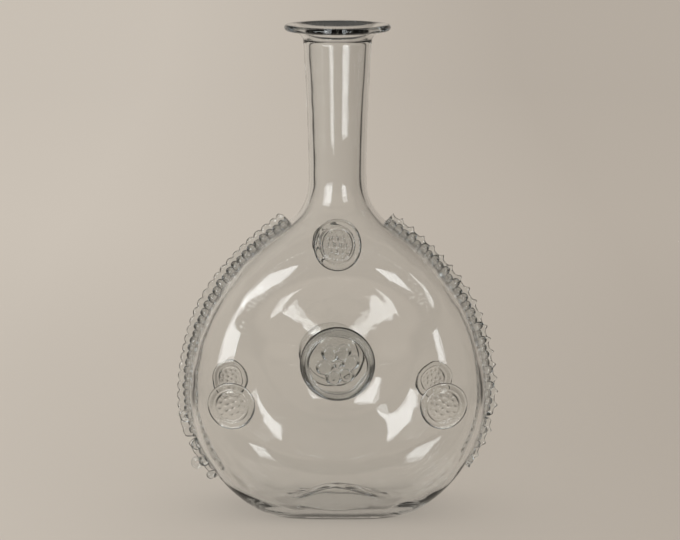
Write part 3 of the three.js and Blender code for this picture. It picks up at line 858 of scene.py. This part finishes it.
def fade(tree, value, low, high, first=0, last=1):
    """Smooth change from first to last as a value goes from low to high."""
    node = tree.nodes.new("ShaderNodeMapRange")
    node.interpolation_type = "SMOOTHSTEP"
    tree.links.new(value, node.inputs["Value"])
    for label, number in [("From Min", low), ("From Max", high), ("To Min", first), ("To Max", last)]:
        node.inputs[label].default_value = number
    return node.outputs["Result"]


def paper_colour_with_painted_falloff(tree, x):
    """Taupe with painted light: lighter on the left of the paper, falling off into painted shade to its
    right.
    """
    across = tree.nodes.new("ShaderNodeMapRange")
    across.inputs["From Min"].default_value = -PAPER_HALF_SPREAD
    across.inputs["From Max"].default_value = PAPER_HALF_SPREAD
    tree.links.new(x, across.inputs["Value"])
    colour = tree.nodes.new("ShaderNodeMix")
    colour.data_type = "RGBA"
    colour.inputs["A"].default_value = PAPER_LEFT_PAINTED_LIGHT
    colour.inputs["B"].default_value = PAPER_RIGHT_PAINTED_SHADE
    tree.links.new(across.outputs["Result"], colour.inputs["Factor"])
    return colour.outputs["Result"]


def painted_dark_studio(tree, path, x, y, z):
    """Share of the painted dark studio that light meets, having left the glass sideways or upwards: painted
    darkness in what the glass reflects and refracts, which draws its edges.
    """
    azimuth = reckon(tree, "ARCTAN2", reckon(tree, "ABSOLUTE", x), y)
    distance = reckon(tree, "SQRT", reckon(tree, "ADD", times(tree, x, x), times(tree, y, y)))
    away = fade(tree, distance, *PAINTED_DARK_DISTANCE)
    beside = times(tree, fade(tree, azimuth, *PAINTED_DARK_AZIMUTH), away)
    turned_back = reckon(tree, "GREATER_THAN", path.outputs["Glossy Depth"], REFLECTIONS)
    in_wall = reckon(tree, "LESS_THAN", path.outputs["Transmission Depth"], WALL_CROSSINGS)
    in_relief = reckon(tree, "GREATER_THAN", path.outputs["Transmission Depth"], RELIEF_CROSSINGS)
    ahead = times(tree, fade(tree, azimuth, *PAINTED_DARK_RELIEF_AZIMUTH), times(tree, away, in_relief))
    sideways = larger(tree, times(tree, beside, PAINTED_DARK_ON_CLEAR_VIEW), ahead)
    refracted = times(tree, sideways, fade(tree, azimuth, *PAINTED_DARK_END_AZIMUTH, 1, 0))
    strayed = times(tree, beside, larger(tree, turned_back, in_wall))
    upward = times(tree, fade(tree, z, *PAINTED_DARK_HEIGHT), larger(tree, turned_back, in_relief))
    return larger(tree, larger(tree, refracted, strayed), upward)


def painted_paper_shade(tree, x, y):
    """Painted light and shade on the paper's glow: softer round the decanter, a painted shadow under the
    front of its foot, lighter towards the back.
    """
    # Painted shade from ambient occlusion, multiplied into the glow
    contact = tree.nodes.new("ShaderNodeAmbientOcclusion")
    contact.samples = CONTACT_SAMPLES
    contact.inputs["Distance"].default_value = CONTACT_REACH
    shade = reckon(tree, "MULTIPLY_ADD", contact.outputs["AO"], CONTACT_SHADE, 1 - CONTACT_SHADE)
    # Painted light: brighter towards the back of the paper
    shade = times(tree, shade, fade(tree, y, *PAPER_PAINTED_RISE))
    # Painted shadow in a ring under the front of the foot
    foot_sides = []
    for place, half in [(x, float(half_width(0.0))), (y, FOOT_HALF_DEPTH)]:
        share = reckon(tree, "DIVIDE", reckon(tree, "ABSOLUTE", place), half * MM)
        foot_sides.append(reckon(tree, "POWER", share, SECTION_POWER))
    foot = reckon(tree, "POWER", reckon(tree, "ADD", *foot_sides), 1 / SECTION_POWER)
    ring = times(tree, fade(tree, foot, *FOOT_SHADE_INSIDE), fade(tree, foot, *FOOT_SHADE_OUTSIDE, 1, 0))
    ring = times(tree, ring, fade(tree, y, *FOOT_SHADE_BACK, 1, 0))
    return times(tree, shade, reckon(tree, "MULTIPLY_ADD", ring, -FOOT_SHADE, 1))


def backdrop_paper():
    """Lit and glowing taupe paper; light that left the glass sideways or upwards meets a painted dark
    studio instead, the paper turned black for that light alone.
    """
    material = bpy.data.materials.new("taupe_backdrop_paper")
    material.use_nodes = True
    tree = material.node_tree
    nodes, links = tree.nodes, tree.links
    nodes.clear()
    place = nodes.new("ShaderNodeTexCoord")
    axes = nodes.new("ShaderNodeSeparateXYZ")
    links.new(place.outputs["Object"], axes.inputs["Vector"])
    x, y, z = (axes.outputs[name] for name in "XYZ")
    colour = paper_colour_with_painted_falloff(tree, x)
    path = nodes.new("ShaderNodeLightPath")
    through = larger(tree, path.outputs["Is Glossy Ray"], path.outputs["Is Transmission Ray"])
    # Painted darkness: the paper goes black for some light that reached it through the glass
    painted_darkness = times(tree, times(tree, painted_dark_studio(tree, path, x, y, z), through), 1 - PAINTED_DARK_LEVEL)
    seen = larger(tree, path.outputs["Is Camera Ray"], through)
    glow = nodes.new("ShaderNodeEmission")
    links.new(colour, glow.inputs["Color"])
    links.new(times(tree, times(tree, seen, painted_paper_shade(tree, x, y)), PAPER_GLOW), glow.inputs["Strength"])
    dim = nodes.new("ShaderNodeMix")
    dim.data_type = "RGBA"
    dim.inputs["Factor"].default_value = PAPER_ALBEDO_SHARE
    dim.inputs["A"].default_value = BLACK
    links.new(colour, dim.inputs["B"])
    paper = nodes.new("ShaderNodeBsdfDiffuse")
    links.new(dim.outputs["Result"], paper.inputs["Color"])
    lit = nodes.new("ShaderNodeAddShader")
    links.new(paper.outputs[0], lit.inputs[0])
    links.new(glow.outputs[0], lit.inputs[1])
    dark = nodes.new("ShaderNodeEmission")
    dark.inputs["Strength"].default_value = 0
    pick = nodes.new("ShaderNodeMixShader")
    links.new(painted_darkness, pick.inputs["Fac"])
    links.new(lit.outputs[0], pick.inputs[1])
    links.new(dark.outputs[0], pick.inputs[2])
    out = nodes.new("ShaderNodeOutputMaterial")
    links.new(pick.outputs[0], out.inputs["Surface"])
    return material


def backdrop():
    """Seamless sweep of paper all round: a flat floor that curves up into a wall."""
    floor = np.linspace(0, FLOOR_RADIUS, FLOOR_STEPS)[1:]
    turn = np.linspace(0, math.pi / 2, BEND_STEPS)[1:]
    bend = WALL_RADIUS - FLOOR_RADIUS
    radius = np.concatenate([floor, FLOOR_RADIUS + bend * np.sin(turn), [WALL_RADIUS]])
    height = np.concatenate([0 * floor, bend * (1 - np.cos(turn)), [WALL_TOP]]) - FLOOR_GAP
    angle = np.linspace(0, 2 * math.pi, BACKDROP_SIDES, endpoint=False)
    rings = np.zeros((len(radius), BACKDROP_SIDES, 3))
    rings[..., 0] = radius[:, None] * np.cos(angle)
    rings[..., 1] = radius[:, None] * np.sin(angle)
    rings[..., 2] = height[:, None]
    here = 1 + np.arange(rings.shape[0] * BACKDROP_SIDES).reshape(-1, BACKDROP_SIDES)
    beside = np.roll(here, -1, axis=1)
    walls = np.stack([here[:-1], beside[:-1], beside[1:], here[1:]], axis=-1).reshape(-1, 4)[:, ::-1]
    fan = np.stack([np.zeros(BACKDROP_SIDES, int), here[0], beside[0]], axis=-1)
    points = np.vstack([[(0, 0, -FLOOR_GAP)], rings.reshape(-1, 3)])
    mesh = bpy.data.meshes.new("backdrop")
    mesh.from_pydata((points * MM).tolist(), [], walls.tolist() + fan.tolist())
    mesh.shade_smooth()
    mesh.materials.append(backdrop_paper())
    sweep = bpy.data.objects.new("backdrop", mesh)
    bpy.context.scene.collection.objects.link(sweep)


def softbox(name, azimuth, distance, low, high, width, radiance):
    """Tall soft lamp facing the decanter; azimuth is from the camera's side towards +X."""
    lamp = bpy.data.lights.new(name, "AREA")
    lamp.shape = "RECTANGLE"
    lamp.size = width * MM
    lamp.size_y = (high - low) * MM
    lamp.energy = radiance * math.pi * lamp.size * lamp.size_y
    lamp.color = LAMP_COLOUR
    stand = bpy.data.objects.new(name, lamp)
    turn = math.radians(azimuth)
    stand.location = Vector((distance * math.sin(turn), -distance * math.cos(turn), (low + high) / 2)) * MM
    stand.rotation_euler = (math.pi / 2, 0, turn)
    stand.visible_camera = False
    bpy.context.scene.collection.objects.link(stand)


def studio_air():
    """Soft fill on the decanter, and a dark room in what its glass reflects and refracts."""
    world = bpy.data.worlds.new("studio_air")
    bpy.context.scene.world = world
    world.use_nodes = True
    tree = world.node_tree
    nodes, links = tree.nodes, tree.links
    nodes.clear()
    path = nodes.new("ShaderNodeLightPath")
    fill = nodes.new("ShaderNodeBackground")
    fill.inputs["Color"].default_value = STUDIO_FILL
    dark = nodes.new("ShaderNodeBackground")
    dark.inputs["Color"].default_value = STUDIO_DARK
    pick = nodes.new("ShaderNodeMixShader")
    through = larger(tree, path.outputs["Is Glossy Ray"], path.outputs["Is Transmission Ray"])
    links.new(through, pick.inputs["Fac"])
    links.new(fill.outputs[0], pick.inputs[1])
    links.new(dark.outputs[0], pick.inputs[2])
    out = nodes.new("ShaderNodeOutputWorld")
    links.new(pick.outputs[0], out.inputs["Surface"])


def camera():
    lens = bpy.data.cameras.new("camera")
    lens.lens = CAMERA_LENS
    lens.sensor_width = CAMERA_SENSOR
    lens.clip_end = CAMERA_CLIP_END
    stand = bpy.data.objects.new("camera", lens)
    stand.location = Vector((CAMERA_OFFSET, -CAMERA_DISTANCE, CAMERA_HEIGHT)) * MM
    stand.rotation_euler = (math.radians(90 - CAMERA_PITCH), 0, 0)
    bpy.context.scene.collection.objects.link(stand)
    bpy.context.scene.camera = stand


# Assembly

marks = blown_glass_marks()
flask_glass = clear_glass("flask_glass", marks, wave_scale=45, deep=(0.99, 0.992, 0.985), density=25)
trail_glass = clear_glass("trail_glass", marks, wave_scale=160, deep=(0.98, 0.985, 0.975), density=150)
seal_glass = clear_glass("seal_glass", marks, wave_scale=110, deep=(0.98, 0.985, 0.975), density=160)
small_seal_glass = clear_glass(
    "small_seal_glass", marks, wave_scale=110, deep=(0.985, 0.99, 0.98), density=30
)

glass_piece("flask_body_glass", flask_body(), flask_glass)
glass_piece("lip_ring_glass", lip_ring(), flask_glass)
glass_piece("left_trail_glass", left_trail(), trail_glass)
glass_piece("right_trail_glass", side_trail(RIGHT, RIGHT_TRAIL), trail_glass)
side_offset = BULB_HALF_WIDTH - SIDE_SEAL_INSET
for face_name, face, shift, large_law, large_radius, small_radius, top_height in [
    ("front", FRONT, 0, rosette_seal_relief, LARGE_SEAL_RADIUS, SMALL_SEAL_RADIUS, TOP_SEAL_HEIGHT),
    (
        "back", BACK, BACK_SEAL_SHIFT, worn_seal_relief,
        BACK_LARGE_SEAL_RADIUS, BACK_SMALL_SEAL_RADIUS, BACK_TOP_SEAL_HEIGHT,
    ),
]:
    centre = seal(face, shift, DISH_HEIGHT, large_radius, large_law, LARGE_SEAL_SIDES)
    glass_piece(f"{face_name}_centre_prunt_glass", centre, seal_glass)
    for place_name, x, z, small_law in [
        ("top", 0, top_height, top_seal_relief),
        ("left", -side_offset, SIDE_SEAL_HEIGHT, small_seal_relief),
        ("right", side_offset, SIDE_SEAL_HEIGHT, small_seal_relief),
    ]:
        small = seal(face, shift + x, z, small_radius, small_law, SMALL_SEAL_SIDES)
        glass_piece(f"{face_name}_{place_name}_prunt_glass", small, small_seal_glass)

backdrop()
softbox("right_softbox", azimuth=26, distance=900, low=110, high=490, width=250, radiance=4.8)
softbox("left_softbox", azimuth=-36.5, distance=900, low=125, high=620, width=465, radiance=5)
studio_air()
camera()

scene = bpy.context.scene
scene.view_settings.view_transform = "Standard"
scene.cycles.max_bounces = GLASS_BOUNCES
scene.cycles.transmission_bounces = GLASS_BOUNCES
scene.cycles.transparent_max_bounces = GLASS_BOUNCES
scene.cycles.glossy_bounces = GLOSSY_BOUNCES
